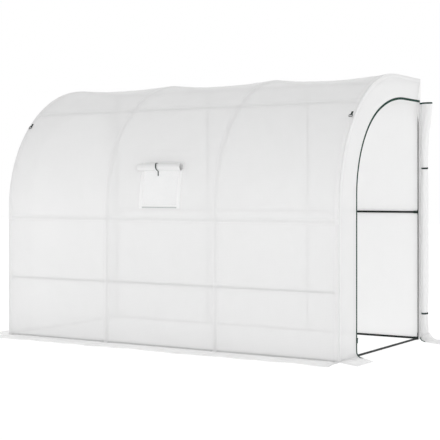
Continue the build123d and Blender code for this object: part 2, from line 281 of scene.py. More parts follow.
def newMaterial(name):
    material = bpy.data.materials.new(name)
    material.use_nodes = True
    material.node_tree.nodes.clear()
    return material, material.node_tree


def surfaced(material, shader):
    addNode(material.node_tree, "OutputMaterial", {}, {}, {"Surface": shader.outputs[0]})
    return material


def dress(piece, material):
    piece.data.materials.clear()
    piece.data.materials.append(material)


# Milky woven polyethylene film, coated on both sides. It scatters most of the light, lets some glow through,
# and a little goes straight through: less where a tape is welded on along the frame, more in the thin skirts.
filmLook = {"colour": "#FAFAFA", "pale": "#FFFFFF", "roughness": 0.42, "shine": 0.25, "scrimMm": 11.0,
            "thread": 0.06, "threadSoft": 0.6, "ribs": "X", "ribMm": 2.6, "ribBend": 0.6, "ribDetail": 1.0,
            "ribShare": 0.3, "cloudMm": 420.0, "cloudLow": 0.3, "cloudHigh": 0.7, "cloud": 0.05, "bump": 0.12,
            "bumpMm": 0.6}
filmKinds = {
    "cover": {"clear": 0.25, "glow": 0.16},
    "back": {"clear": 0.25, "glow": 0.45},
    "welded": {"clear": 0.05, "glow": 0.08},
    "wound": {"clear": 0.09, "glow": 0.14},
    "bound": {"clear": 0.02, "glow": 0.03},
}
bandLooks = {
    "tape": {"wideMm": 22.0, "edgeMm": 14.0, "share": 0.66},
    "lap": {"wideMm": 36.0, "edgeMm": 26.0, "share": 0.55},
    "hem": {"edgeMm": 3.0, "share": 0.15},
    "skirt": {"edgeMm": 20.0, "share": 2.3},
}


def nearLines(tree, uv, lines):
    # how far the cloth at this UV is from the nearest of these lines, in metres
    place = addNode(tree, "SeparateXYZ", {}, {}, {0: uv})
    nearest = None
    for axis, values in lines.items():
        for value in values:
            away = calc(tree, "ABSOLUTE", calc(tree, "SUBTRACT", place.outputs[axis], value))
            nearest = away if nearest is None else calc(tree, "MINIMUM", nearest, away)
    return nearest


def filmMaterial(name, kind, *bands):
    # each band is (a band's look, the lines on the cloth along its middle)
    material, tree = newMaterial(name)
    uv = addNode(tree, "TexCoord").outputs["UV"]
    scrim = addNode(tree, "TexBrick", {"offset": 0.0, "squash": 1.0},
                    {"Scale": perMetre(filmLook["scrimMm"]), "Mortar Size": filmLook["thread"],
                     "Mortar Smooth": filmLook["threadSoft"], "Brick Width": 1.0, "Row Height": 1.0},
                    {"Vector": uv}).outputs["Fac"]
    cloud = noiseAt(tree, uv, filmLook["cloudMm"], detail=3.0)
    colour = mixColours(tree, filmLook, scrim)
    height = calc(tree, "MULTIPLY_ADD", ribsAt(tree, uv, filmLook), filmLook["ribShare"], scrim)
    coat = addNode(tree, "BsdfPrincipled", {},
                   {"Roughness": filmLook["roughness"], "IOR": 1.5, "Specular IOR Level": filmLook["shine"]},
                   {"Base Color": colour, "Normal": bumped(tree, filmLook, height)})
    through = addNode(tree, "BsdfTranslucent", {}, {}, {"Color": colour})
    straight = addNode(tree, "BsdfTransparent")
    clear = addNode(tree, "MapRange", {},
                    {"From Min": filmLook["cloudLow"], "From Max": filmLook["cloudHigh"],
                     "To Min": kind["clear"] * (1 + filmLook["cloud"]),
                     "To Max": kind["clear"] * (1 - filmLook["cloud"])}, {"Value": cloud}).outputs[0]
    body = addNode(tree, "MixShader", {}, {0: kind["glow"]}, {1: coat.outputs[0], 2: through.outputs[0]})
    share = None
    for band, lines in bands:
        half, edge = band["wideMm"] / 2000, band["edgeMm"] / 1000
        here = addNode(tree, "MapRange", {"interpolation_type": "SMOOTHSTEP"},
                       {"From Min": half, "From Max": half + edge, "To Min": band["share"], "To Max": 1.0},
                       {"Value": nearLines(tree, uv, lines)}).outputs[0]
        share = here if share is None else calc(tree, "MULTIPLY", share, here)
    if share is not None:
        clear = calc(tree, "MULTIPLY", clear, share)
        tree.links.new(calc(tree, "MULTIPLY", share, kind["glow"]), body.inputs[0])
    mix = addNode(tree, "MixShader", {}, {}, {0: clear, 1: body.outputs[0], 2: straight.outputs[0]})
    return surfaced(material, mix)


# Powder-coated steel: fine orange peel, a satin sheen and small changes of tone
steelLook = {"colour": "#131716", "pale": "#1B211F", "peelMm": 2.2, "toneMm": 60.0, "smooth": 0.40,
             "rough": 0.56, "shine": 0.22, "bump": 0.25, "bumpMm": 0.2}


def powderCoat(name, look):
    material, tree = newMaterial(name)
    place = addNode(tree, "TexCoord").outputs["Object"]
    tone = noiseAt(tree, place, look["toneMm"], detail=4.0)
    peel = noiseAt(tree, place, look["peelMm"], detail=2.0)
    rough = addNode(tree, "MapRange", {}, {"To Min": look["smooth"], "To Max": look["rough"]},
                    {"Value": tone})
    coat = addNode(tree, "BsdfPrincipled", {}, {"IOR": 1.5, "Specular IOR Level": look["shine"]},
                   {"Base Color": mixColours(tree, look, tone), "Roughness": rough.outputs[0],
                    "Normal": bumped(tree, look, peel)})
    return surfaced(material, coat)


# Moulded plastics: matt, with a fine spark-eroded grain
plasticGrain = {"toneMm": 25.0, "shine": 0.35, "bump": 0.3, "bumpMm": 0.15}
plasticLooks = {
    "connector": {"colour": "#16241F", "pale": "#20312B", "grainMm": 1.1, "roughness": 0.55},
    "slider": {"colour": "#1C3E35", "pale": "#2A5046", "grainMm": 0.8, "roughness": 0.5},
    "tooth": {"colour": "#12332A", "pale": "#1E4A3E", "grainMm": 0.8, "roughness": 0.5},
    "ring": {"colour": "#1A2221", "pale": "#29312F", "grainMm": 1.5, "roughness": 0.4},
    "net": {"colour": "#F4F5F5", "pale": "#FFFFFF", "grainMm": 2.0, "roughness": 0.5},
}


def mouldedPlastic(name, look):
    material, tree = newMaterial(name)
    place = addNode(tree, "TexCoord").outputs["Object"]
    grain = addNode(tree, "TexVoronoi", {}, {"Scale": perMetre(look["grainMm"])}, {"Vector": place})
    tone = noiseAt(tree, place, plasticGrain["toneMm"], detail=3.0)
    body = addNode(tree, "BsdfPrincipled", {},
                   {"IOR": 1.49, "Roughness": look["roughness"], "Specular IOR Level": plasticGrain["shine"]},
                   {"Base Color": mixColours(tree, look, tone),
                    "Normal": bumped(tree, plasticGrain, grain.outputs["Distance"])})
    return surfaced(material, body)


# Woven polyester tape and webbing: a twill rib across, fuzzy and matt
tapeWeave = {"ribs": "DIAGONAL", "ribBend": 1.2, "ribDetail": 2.0, "toneMm": 30.0, "roughness": 0.82,
             "fuzz": 0.12, "fuzzRoughness": 0.4, "shine": 0.2, "bump": 0.4, "bumpMm": 0.3}
tapeLooks = {
    "zip": {"colour": "#10332A", "pale": "#1C493D", "ribMm": 1.4},
    "webbing": {"colour": "#1F2C28", "pale": "#34423E", "ribMm": 2.0},
    "loop": {"colour": "#BCBFBF", "pale": "#D2D5D4", "ribMm": 1.8},
}


def wovenTape(name, look, place="UV"):
    material, tree = newMaterial(name)
    uv = addNode(tree, "TexCoord").outputs[place]
    rib = ribsAt(tree, uv, dict(tapeWeave, **look))
    weave = calc(tree, "MULTIPLY", rib, noiseAt(tree, uv, tapeWeave["toneMm"], detail=4.0))
    cloth = addNode(tree, "BsdfPrincipled", {},
                    {"Roughness": tapeWeave["roughness"], "Sheen Weight": tapeWeave["fuzz"],
                     "Sheen Roughness": tapeWeave["fuzzRoughness"], "Specular IOR Level": tapeWeave["shine"]},
                    {"Base Color": mixColours(tree, look, weave), "Normal": bumped(tree, tapeWeave, rib)})
    return surfaced(material, cloth)


coverFilm = filmMaterial("woven polyethylene film", filmKinds["cover"],
                         (bandLooks["tape"], {"X": hoopXs[1:-1], "Y": [midRailZ, purlinS]}),
                         (bandLooks["lap"], {"X": [-panelX, panelX]}),
                         (dict(bandLooks["skirt"], wideMm=skirtLong * 1000), {"Y": [-skirtLong / 2]}))
backFilm = filmMaterial("woven polyethylene film at the back", filmKinds["back"],
                        (bandLooks["tape"], {"X": hoopXs, "Y": [backRailZ, topZ]}))
looseFilm = filmMaterial("loose polyethylene film", filmKinds["cover"])
weldedFilm = filmMaterial("welded double film", filmKinds["welded"])
woundFilm = filmMaterial("wound polyethylene film", filmKinds["wound"])
boundFilm = filmMaterial("bound film edge", filmKinds["bound"])
paintedSteel = powderCoat("powder coated steel", steelLook)
greenPlastic = mouldedPlastic("moulded polypropylene", plasticLooks["connector"])
sliderPlastic = mouldedPlastic("moulded acetal slider", plasticLooks["slider"])
toothPlastic = mouldedPlastic("moulded acetal teeth", plasticLooks["tooth"])
ringCoat = mouldedPlastic("dipped black wire", plasticLooks["ring"])
netThread = mouldedPlastic("extruded polyethylene net", plasticLooks["net"])
zipTape = wovenTape("woven zip tape", tapeLooks["zip"])
darkWebbing = wovenTape("polyester webbing", tapeLooks["webbing"])
tabWebbing = wovenTape("polyester webbing tab", tapeLooks["webbing"], "Object")
greyLoop = wovenTape("hook and loop strip", tapeLooks["loop"])
print("materials made")

# Camera, at the photograph's angle
cameraLook = {"place": (4.978, -7.830, 1.1857), "turn": 31.643, "focal": 1149.82, "imageSize": 440,
              "horizonRow": 191.36, "sensor": 36.0, "seesTo": 200.0}
bpy.ops.object.camera_add(location=cameraLook["place"],
                          rotation=(math.pi / 2, 0, math.radians(cameraLook["turn"])))
camera = bpy.context.object
camera.name = "photoCamera"
camera.data.sensor_width = cameraLook["sensor"]
camera.data.lens = cameraLook["focal"] / cameraLook["imageSize"] * cameraLook["sensor"]
camera.data.shift_y = (cameraLook["horizonRow"] - cameraLook["imageSize"] / 2) / cameraLook["imageSize"]
camera.data.clip_end = cameraLook["seesTo"]
scene = bpy.context.scene
scene.camera = camera

# Floor, world and soft studio lamps
studio = {"horizon": 0.52, "zenith": 0.79, "floorSize": 60.0, "floorGlow": 0.45, "floorSeen": 0.92,
          "floorWhite": 1.03, "floor": "#F2F2F2", "lampAway": 10.0}
lamps = {
    "frontLamp": {"from": (0.74, -0.66, 0.04), "soft": 28.0, "power": 0.70, "shines": True},
    "backLamp": {"from": (-0.20, 0.88, 0.43), "soft": 28.0, "power": 0.76, "shines": False},
}
pureWhite = (1, 1, 1, 1)


def seenWhite(tree):
    # 1 for what the camera sees, straight, mirrored or through film
    rays = addNode(tree, "LightPath").outputs
    seen = calc(tree, "MAXIMUM", rays["Is Camera Ray"], rays["Is Glossy Ray"])
    return calc(tree, "MAXIMUM", seen, rays["Is Transmission Ray"])


scene.view_settings.view_transform = "Standard"
world = bpy.data.worlds.new("evenStudio")
scene.world = world
world.use_nodes = True
sky = world.node_tree
sky.nodes.clear()
toSky = addNode(sky, "SeparateXYZ", {}, {}, {0: addNode(sky, "TexCoord").outputs["Generated"]})
skyLevel = addNode(sky, "MapRange", {}, {"To Min": studio["horizon"], "To Max": studio["zenith"]},
                   {"Value": toSky.outputs["Z"]})
# a mix node's number sockets are 2 and 3 in, 0 out
strength = addNode(sky, "Mix", {"data_type": "FLOAT"}, {3: 1.0}, {0: seenWhite(sky), 2: skyLevel.outputs[0]})
skyGlow = addNode(sky, "Background", {}, {"Color": pureWhite}, {"Strength": strength.outputs[0]})
addNode(sky, "OutputWorld", {}, {}, {"Surface": skyGlow.outputs[0]})

for name, look in lamps.items():
    # a far lamp with a wide soft face, so that its light is even along the house
    towards = Vector(look["from"])
    bpy.ops.object.light_add(type="SUN", location=towards * studio["lampAway"],
                             rotation=towards.to_track_quat("Z", "Y").to_euler())
    lamp = bpy.context.object
    lamp.name = name
    lamp.data.angle = math.radians(look["soft"])
    lamp.data.energy = look["power"]
    lamp.visible_glossy = look["shines"]

clearSelection()
bpy.ops.mesh.primitive_plane_add(size=studio["floorSize"])
floor = bpy.context.object
floor.name = "floor"
floorPaint, tree = newMaterial("pale studio floor")
shine = calc(tree, "MULTIPLY", seenWhite(tree), studio["floorSeen"])
white = addNode(tree, "Emission", {}, {"Color": pureWhite, "Strength": studio["floorWhite"]})
paint = addNode(tree, "BsdfDiffuse", {}, {"Color": linear(studio["floor"])})
glow = addNode(tree, "Emission", {}, {"Color": pureWhite, "Strength": studio["floorGlow"]})
lit = addNode(tree, "AddShader", {}, {}, {0: paint.outputs[0], 1: glow.outputs[0]})
both = addNode(tree, "MixShader", {}, {}, {0: shine, 1: lit.outputs[0], 2: white.outputs[0]})
dress(floor, surfaced(floorPaint, both))
print("camera, floor and lamps set")

# Main cover: front skirt, front and roof in one film, dipping between the hoops
coverLook = {"flare": 0.028, "fold": 0.034, "cornerFold": 0.006, "corner": 0.22, "ground": 0.0006,
             "lie": 0.007, "lieMean": 0.5, "lieRun": 0.08, "edgeRound": 0.003, "wrinkle": 0.0026,
             "shortShare": 0.5, "drawnShare": 0.6, "drawnRise": 3, "railNear": 0.11, "windowNear": 0.12,
             "windowBelow": 0.05, "slack": (0.68, 0.88, 1.0)}
coverWaves = {
    "long": {"stretch": (1.2, 0.8), "layer": 3.1, "size": 0.24},
    "short": {"stretch": (1.0, 1.0), "layer": 8.4, "size": 0.09},
    "drawn": {"stretch": (3.5, 0.6), "slant": 1.3, "layer": 5.5, "size": 0.2},
    "skirt": {"stretch": (1.1, 2.0), "layer": 1.7, "size": 0.21},
}
dipTable = [(0.0, 0.0), (0.24, 0.0075), (lowRailZ, 0.0028), (0.73, 0.008), (midRailZ, 0.0014),
            (1.25, 0.001), (1.55, 0.004), (purlinS, 0.0016), (2.3, 0.023), (crownS, 0.034),
            (crownS + 0.2, 0.02), (backS, 0.0)]
windowBox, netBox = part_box("window_border"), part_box("window_net")
netHalf, borderHalf = netBox[1][0], windowBox[1][0]
borderR = bendR + filmIn + film
holeLowS, holeHighS = [bendZ + bendR * math.asin((netBox[k][2] - bendZ) / borderR) for k in (0, 1)]


def bayShare(x):
    # 0 on a hoop, 1 half-way between two
    if abs(x) >= hoopXs[-1]:
        return 0.0
    t = ((x - hoopXs[0]) / bay) % 1.0
    return 1 - (2 * t - 1) ** 2


def slackAt(x):
    which = min(max(int((x - hoopXs[0]) // bay), 0), len(coverLook["slack"]) - 1)
    return coverLook["slack"][which]


def awayFromRails(s):
    near = min(abs(s - rail) for rail in (0.0, lowRailZ, midRailZ, purlinS, backS))
    return ease(near / coverLook["railNear"])


def inNet(place):
    return abs(place.x) < netHalf and netBox[0][2] < place.z < netBox[1][2]


def coverOff(x, s):
    share = bayShare(x)
    atWindow = 1.0
    if bendZ - coverLook["windowBelow"] < s < holeHighS + coverLook["windowNear"]:
        atWindow = ease((abs(x) - borderHalf) / coverLook["windowNear"])
    off = filmIn - share * slackAt(x) * curveAt(dipTable, max(s, 0.0)) * atWindow
    folds = waves(coverWaves["long"], x, s) + coverLook["shortShare"] * waves(coverWaves["short"], x, s)
    drawn = coverLook["drawnShare"] * waves(coverWaves["drawn"], x, s) * ease(share * coverLook["drawnRise"])
    off += coverLook["wrinkle"] * (folds * share + drawn) * awayFromRails(s) * atWindow
    past = abs(x) - hoopXs[-1]
    if past > 0:
        off -= coverLook["edgeRound"] * past / (panelX - hoopXs[-1])
    return off


def coverPoint(x, s):
    # the fold to the ground is tight at the corners, where the ends' film meets it
    fold = lerp(coverLook["fold"], coverLook["cornerFold"], ease((abs(x) - panelX) / coverLook["corner"] + 1))
    if s >= fold:
        return (x, *section(s, coverOff(x, s)))
    rootY = legY - coverOff(x, fold)
    ground = coverLook["ground"]
    if s > -fold:
        t = (s + fold) / (2 * fold)
        return (x, rootY - fold * (1 - t) ** 2, ground + fold * t * t)
    wave = coverLook["lieMean"] + waves(coverWaves["skirt"], x, s)
    lift = coverLook["lie"] * wave * ease((-s - fold) / coverLook["lieRun"])
    spread = 1 + coverLook["flare"] / panelX * (-s - fold) / (skirtLong - fold)
    return (x * spread, rootY + s, ground + max(lift, 0.0))


acrossStops = stops((-panelX, 0), (hoopXs[0], 1), (hoopXs[1], 62), (-netHalf, 21), (netHalf, 20),
                    (hoopXs[2], 21), (hoopXs[3], 62), (panelX, 1))
alongStops = stops((-skirtLong, 0), (-coverLook["fold"], 13), (-coverLook["cornerFold"], 4),
                   (coverLook["cornerFold"], 4), (coverLook["fold"], 4), (lowRailZ, 27), (midRailZ, 30),
                   (holeLowS, 8), (holeHighS, 19), (purlinS, 34), (crownS, 45), (backS, 28))
mainCover = gridPiece("mainCover", acrossStops, alongStops, coverPoint)
cutFaces(mainCover, inNet)
thicken(mainCover, film)
dress(mainCover, coverFilm)
fitted(mainCover, "root", "main_cover")
print("main cover shaped")

# Back cover, flat against the posts
backLook = {"low": 0.0005, "top": 0.0004, "dip": 0.0025, "railNear": 0.15, "wrinkle": 0.0015,
            "waves": {"stretch": (1.0, 1.0), "layer": 2.2, "size": 0.25}}


def backPoint(x, z):
    share = bayShare(x)
    away = ease(min(z, topZ - z, abs(z - backRailZ)) / backLook["railNear"])
    off = filmIn - backLook["dip"] * share * away
    off += backLook["wrinkle"] * waves(backLook["waves"], x, z) * share
    return (x, postY + min(off, filmIn), z)


backRows = stops((backLook["low"], 0), (backRailZ, 32), (backBox[1][2] - backLook["top"], 34))
backCover = gridPiece("backCover", stops((panelX, 0), (-panelX, 96)), backRows, backPoint)
thicken(backCover, film)
dress(backCover, backFilm)
fitted(backCover, "root", "back_cover")

# End panels: a band of film round the door opening, which runs out into a short skirt on the ground
panelLook = {"flare": 0.05, "cornerFlare": 0.006, "cornerFrom": 0.45, "bulge": 0.004, "bulgeMean": 0.4,
             "bulgeFrom": 0.3, "ground": 0.0016, "lie": 0.0012, "lieMean": 0.4, "lieRise": 2, "edge": 0.0008,
             "skirtBack": 0.110, "flareShares": (0, 0.04, 0.09, 0.15, 0.3, 0.45, 0.6, 0.75, 0.9),
             "aboveFlare": 0.06}
panelWaves = {
    "skirt": {"stretch": (0.4, 1.4), "layer": 6.1, "size": 0.13},
    "bulge": {"stretch": (1.0, 1.0), "layer": 4.4, "size": 0.22},
}
doorLook = {"shoulder": 0.712, "crown": 1.081, "turn": 64.5, "zipWide": 0.013, "hem": 0.0200,
            "cornerHem": 0.046, "cornerLow": 1.72, "cornerHigh": 1.83}
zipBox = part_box("right_zip_tape")
zipWide = doorLook["zipWide"]
doorFrontY, doorTopZ, doorBackY = zipBox[0][1] + zipWide, zipBox[1][2] - zipWide, zipBox[1][1]
archMeet = math.radians(doorLook["turn"])
archChange = doorLook["crown"] - doorLook["shoulder"]
shoulderY, crownZ = doorFrontY + doorLook["shoulder"], doorTopZ - doorLook["crown"]
springZ, crownY = crownZ + archChange * math.sin(archMeet), shoulderY + archChange * math.cos(archMeet)
skirtX, skirtFrontY = rightBox[1][0], rightBox[0][1]
contour = filmIn + film - panelLook["edge"]
lapY = postY + contour


def archPoint(turn, out):
    # two arcs that meet smoothly, moved out from the opening
    if turn <= archMeet:
        reach = doorLook["shoulder"] + out
        return shoulderY - reach * math.cos(turn), springZ + reach * math.sin(turn)
    reach = doorLook["crown"] + out
    return crownY - reach * math.cos(turn), crownZ + reach * math.sin(turn)


def backHem(z):
    # a hem covers part of the post, and widens to cover all of its top
    rise = ease((z - doorLook["cornerLow"]) / (doorLook["cornerHigh"] - doorLook["cornerLow"]))
    return doorBackY - lerp(doorLook["hem"], doorLook["cornerHem"], rise)


def doorEdge(k):
    # k runs 0 to 1 up the front, to 2 round the arch, to 3 along the top, to 4 down the back
    if k <= 1:
        return doorFrontY, k * springZ
    if k <= 2:
        return archPoint((k - 1) * math.pi / 2, 0)
    if k <= 3:
        return lerp(crownY, backHem(doorTopZ), k - 2), doorTopZ
    z = doorTopZ * (4 - k)
    return backHem(z), z


def panelEdge(k):
    # the outer edge, with k as in doorEdge
    if k <= 1:
        return legY - contour, k * bendZ
    if k <= 2:
        return section(lerp(bendZ, crownS, k - 1), contour)
    if k <= 3:
        return lerp(bendY, lapY, k - 2), topZ + contour
    return lapY, (topZ + contour) * (4 - k)


def panelPoint(v, k):
    # v runs from the opening's edge to the outer edge
    atCorner = ease((v - panelLook["cornerFrom"]) / (1 - panelLook["cornerFrom"]))
    flare = lerp(panelLook["flare"], panelLook["cornerFlare"], atCorner)
    ground = panelLook["ground"]
    if k < 0:
        # out over the ground, from the flare to the skirt's end
        t = -k
        frontY = lerp(legY - contour, skirtFrontY, t)
        backY = lerp(doorFrontY, doorFrontY - panelLook["skirtBack"], t)
        y = lerp(backY, frontY, v)
        wave = max(panelLook["lieMean"] + waves(panelWaves["skirt"], t, y), 0)
        lift = panelLook["lie"] * wave * ease(t * panelLook["lieRise"])
        return (lerp(panelX + flare, skirtX, t), y, ground + lift)
    inner, outer = doorEdge(k), panelEdge(k)
    y, z = lerp(inner[0], outer[0], v), lerp(inner[1], outer[1], v)
    x = panelX
    if k < 3:
        belly = math.sin(math.pi * v) * ease(z / panelLook["bulgeFrom"])
        x += panelLook["bulge"] * (belly * (panelLook["bulgeMean"] + waves(panelWaves["bulge"], y, z)))
    if k < 1 and z < flare:
        t = 1 - z / flare
        x += flare * t * t
        z = ground + flare * (1 - t) ** 2
    return (x, y, z)


def panelWidth(k):
    return (Vector(panelPoint(0.0, k)) - Vector(panelPoint(1.0, k))).length


flareSteps = [panelLook["flare"] / springZ * share for share in panelLook["flareShares"]]
panelAlong = stops((-1.0, 0), (-0.1, 10)) + flareSteps
panelAlong += stops((panelLook["aboveFlare"], 0), (1.0, 56), (2.0, 64), (3.0, 22), (4.0, 90))
bandMids = [Vector(panelPoint(0.5, k)) for k in panelAlong]
bandAt = {panelAlong[0]: 0.0}
for start, end, low, high in zip(panelAlong, panelAlong[1:], bandMids, bandMids[1:]):
    bandAt[end] = bandAt[start] + (high - low).length
bandLong = bandAt[panelAlong[-1]]
rightPanel = gridPiece("rightEndPanel", stops((0.0, 0), (1.0, 26)), panelAlong, panelPoint,
                       lambda v, k: ((1 - v) * panelWidth(k), bandAt[k]))
thicken(rightPanel, film)
panelSkirt = bandAt[0.0]
hemmedFilm = filmMaterial("hemmed polyethylene film", filmKinds["cover"],
                          (bandLooks["tape"], {"X": [filmIn]}),
                          (dict(bandLooks["skirt"], wideMm=panelSkirt * 1000), {"Y": [panelSkirt / 2]}),
                          (dict(bandLooks["hem"], wideMm=2000 * (bandLong - bandAt[3.0])), {"Y": [bandLong]}))
dress(rightPanel, hemmedFilm)
for side, piece in bothEnds(rightPanel):
    fitted(piece, "root", f"{side}_end_panel")

# a doubled patch behind the film at the top of the end post
patchLook = {"inside": 0.0012, "thick": 0.0008, "wide": 0.045, "low": 1.815, "high": 2.020, "back": 0.001}
patchFront, patchBack = doorBackY - patchLook["wide"], lapY - patchLook["back"]
rightPatch = gridPiece("rightCornerPatch", stops((patchFront, 0), (patchBack, 8)),
                       stops((patchLook["low"], 0), (patchLook["high"], 24)),
                       lambda y, z: (panelX - patchLook["inside"], y, z))
thicken(rightPatch, patchLook["thick"])
dress(rightPatch, weldedFilm)
for side, piece in bothEnds(rightPatch):
    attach(piece, "root")

# Zip tape: a woven band round the opening, with a row of moulded teeth along it
zipLook = {"lift": 0.0003, "thick": 0.0009, "overhang": 0.005, "toothFrom": 0.004, "toothStep": 0.0036,
           "toothWide": 0.0042, "toothLong": 0.0022, "toothHigh": 0.0011, "toothRound": 0.0003}
zipX = panelX + film + zipLook["lift"]


def zipPoint(out, k):
    # out runs across the band from the opening, k follows doorEdge and runs out over the flare below it
    flare = panelLook["flare"]
    if k <= 1:
        y, z = doorFrontY - out, k * springZ
    elif k <= 2:
        y, z = archPoint((k - 1) * math.pi / 2, out)
    else:
        y, z = lerp(crownY, doorBackY, k - 2), doorTopZ + out
    x = zipX
    if z < flare:
        t = 1 - z / flare
        x += (flare - film) * t * t
        z = panelLook["ground"] + film + zipLook["lift"] + (flare - film) * (1 - t) ** 2
    return Vector((x, y, z))


zipAlong = flareSteps + stops((panelLook["aboveFlare"], 0), (1.0, 40), (2.0, 60), (3.0, 16))
rightZip = gridPiece("rightZipTape", stops((-zipLook["overhang"], 0), (zipWide, 6)), zipAlong, zipPoint,
                     lambda out, k: (out, k * springZ))
thicken(rightZip, zipLook["thick"])
dress(rightZip, zipTape)

# one tooth, then a row of them along the band
clearSelection()
bpy.ops.mesh.primitive_cube_add(size=1)
tooth = bpy.context.object
tooth.name = "zipTooth"
bpy.ops.transform.resize(value=(zipLook["toothLong"], zipLook["toothWide"], zipLook["toothHigh"]))
bpy.ops.object.transform_apply(scale=True)
useModifier(tooth, "BEVEL", width=zipLook["toothRound"], segments=1)
toothAlong = stops((zipLook["toothFrom"], 0), (1.0, 120), (2.0, 150), (3.0, 40))
toothLine = [zipPoint(zipWide / 2, k) for k in toothAlong]
toothRow = []
travel = 0.0
for start, end in zip(toothLine, toothLine[1:]):
    run = end - start
    while travel < run.length:
        toothRow.append((start + run * (travel / run.length), run.normalized()))
        travel += zipLook["toothStep"]
    travel -= run.length
corners = [v.co.copy() for v in tooth.data.vertices]
faces = [tuple(f.vertices) for f in tooth.data.polygons]
points, polygons = [], []
outward = Vector((1, 0, 0))
for place, along in toothRow:
    across = outward.cross(along)
    base = len(points)
    seat = place + outward * (zipLook["thick"] + zipLook["toothHigh"] / 2)
    points += [seat + along * c.x + across * c.y + outward * c.z for c in corners]
    polygons += [tuple(base + i for i in face) for face in faces]
teethMesh = bpy.data.meshes.new("rightZipTeeth")
teethMesh.from_pydata(points, [], polygons)
bpy.data.objects.remove(tooth)
rightTeeth = bpy.data.objects.new("rightZipTeeth", teethMesh)
bpy.context.collection.objects.link(rightTeeth)
dress(rightTeeth, toothPlastic)
for side, piece in bothEnds(rightZip):
    fitted(piece, "root", f"{side}_zip_tape")
for side, piece in bothEnds(rightTeeth):
    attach(piece, "root")
print("zips made,", len(toothRow), "teeth a side")

# Rolled doors: a film wound up on itself, drawn in by two ties, with the zip along its top, and a dark zip
# cord round its foot that also paints the shade under the foot's edge
rollLook = {"radius": 0.032, "pinch": 0.026, "topWide": 0.050, "topDeep": 0.025, "draw": 0.160,
            "tieTall": 0.012, "turns": 9.5, "core": 0.34, "lobes": 6, "lobe": 0.07, "twist": 8.4,
            "twistSize": 0.35, "soft": 0.05, "softSize": 0.5, "softStretch": 2.4, "softMost": 0.02,
            "inset": 0.03, "film": 0.0007, "endTurn": 155.0, "zipTall": 0.013, "zipLift": 0.0003,
            "zipThick": 0.0006, "zipTurns": 1.02}
rollBox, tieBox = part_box("right_door_roll"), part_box("right_door_ties")
rollX, rollY = middle("right_door_ties", 0), middle("right_door_ties", 1)
rollLow, rollHigh = rollBox[0][2], rollBox[1][2]
tieLow, tieHigh = tieBox[0][2] + rollLook["tieTall"] / 2, tieBox[1][2] - rollLook["tieTall"] / 2
spreadFrom = tieHigh + rollLook["draw"]
headLow = rollHigh - rollLook["zipTall"]


def rollSize(z):
    # centre, half width and half depth of the bundle at this height
    near = min(abs(z - tieLow), abs(z - tieHigh))
    radius = lerp(rollLook["pinch"], rollLook["radius"], ease(near / rollLook["draw"]))
    t = ease((z - spreadFrom) / (rollHigh - spreadFrom))
    wide, deep = lerp(radius, rollLook["topWide"], t), lerp(radius, rollLook["topDeep"], t)
    return rollX + wide - radius, wide, deep


def rollPoint(turn, z, swell=0.0):
    # turn counts back from the film's outer end
    centreX, wide, deep = rollSize(z)
    angle = math.radians(rollLook["endTurn"]) - turn * 2 * math.pi
    share = lerp(1.0, rollLook["core"], turn / rollLook["turns"])
    twist = rollLook["twist"] * ripple((0, 0, z), rollLook["twistSize"])
    gather = 0.5 + 0.5 * math.cos(rollLook["lobes"] * angle + twist)
    onRound = (math.cos(angle), math.sin(angle), z * rollLook["softStretch"])
    soft = min(ripple(onRound, rollLook["softSize"], rollLook["soft"]), rollLook["softMost"])
    reach = share * (1 - rollLook["lobe"] * gather + soft) - rollLook["inset"]
    x = centreX + (wide * reach + swell) * math.cos(angle)
    return (x, rollY + (deep * reach + swell) * math.sin(angle), z)


def rollZip(name, turns, heights):
    girth = 2 * math.pi * rollLook["radius"]
    swell = rollLook["film"] + rollLook["zipLift"]
    piece = gridPiece(name, turns, heights, lambda turn, z: rollPoint(turn, z, swell),
                      lambda turn, z: (turn * girth, z))
    thicken(piece, rollLook["zipThick"])
    return piece


rollTurns = stops((0.0, 0), (1.0, 44), (rollLook["turns"], 200))
rollRows = stops((rollLow, 0), (tieLow, 14), (tieHigh, 60), (headLow, 28), (rollHigh, 2))
rollPitch = math.pi * rollLook["radius"] * (1 + rollLook["core"])
rightRoll = gridPiece("rightDoorRoll", rollTurns, rollRows, rollPoint, lambda turn, z: (turn * rollPitch, z))
thicken(rightRoll, rollLook["film"])
dress(rightRoll, weldedFilm)

# the door's lower edge opens out from round the roll and lies on the ground
footLook = {"waistReach": 0.133, "waistForward": 0.188, "reach": 0.270, "forward": 0.235, "side": 0.012,
            "heel": 0.190, "rise": (0.060, 0.026), "run": (0.34, 0.22), "lie": 0.0040, "wrapFrom": 20.0,
            "wrapTo": -150.0, "gap": 0.0012, "wave": 0.004, "waveMean": 0.5, "waveRise": 3, "endFall": 6,
            "endKeep": 0.2, "film": 0.0009, "long": 0.26, "cordFrom": 0.02, "cordTo": 0.5, "cordRadius": 0.0036,
            "cordTaper": 0.06, "cordTip": 0.1, "cordStep": 0.01,
            "waves": {"stretch": (1.2, 1.0), "layer": 9.3, "size": 0.07}}


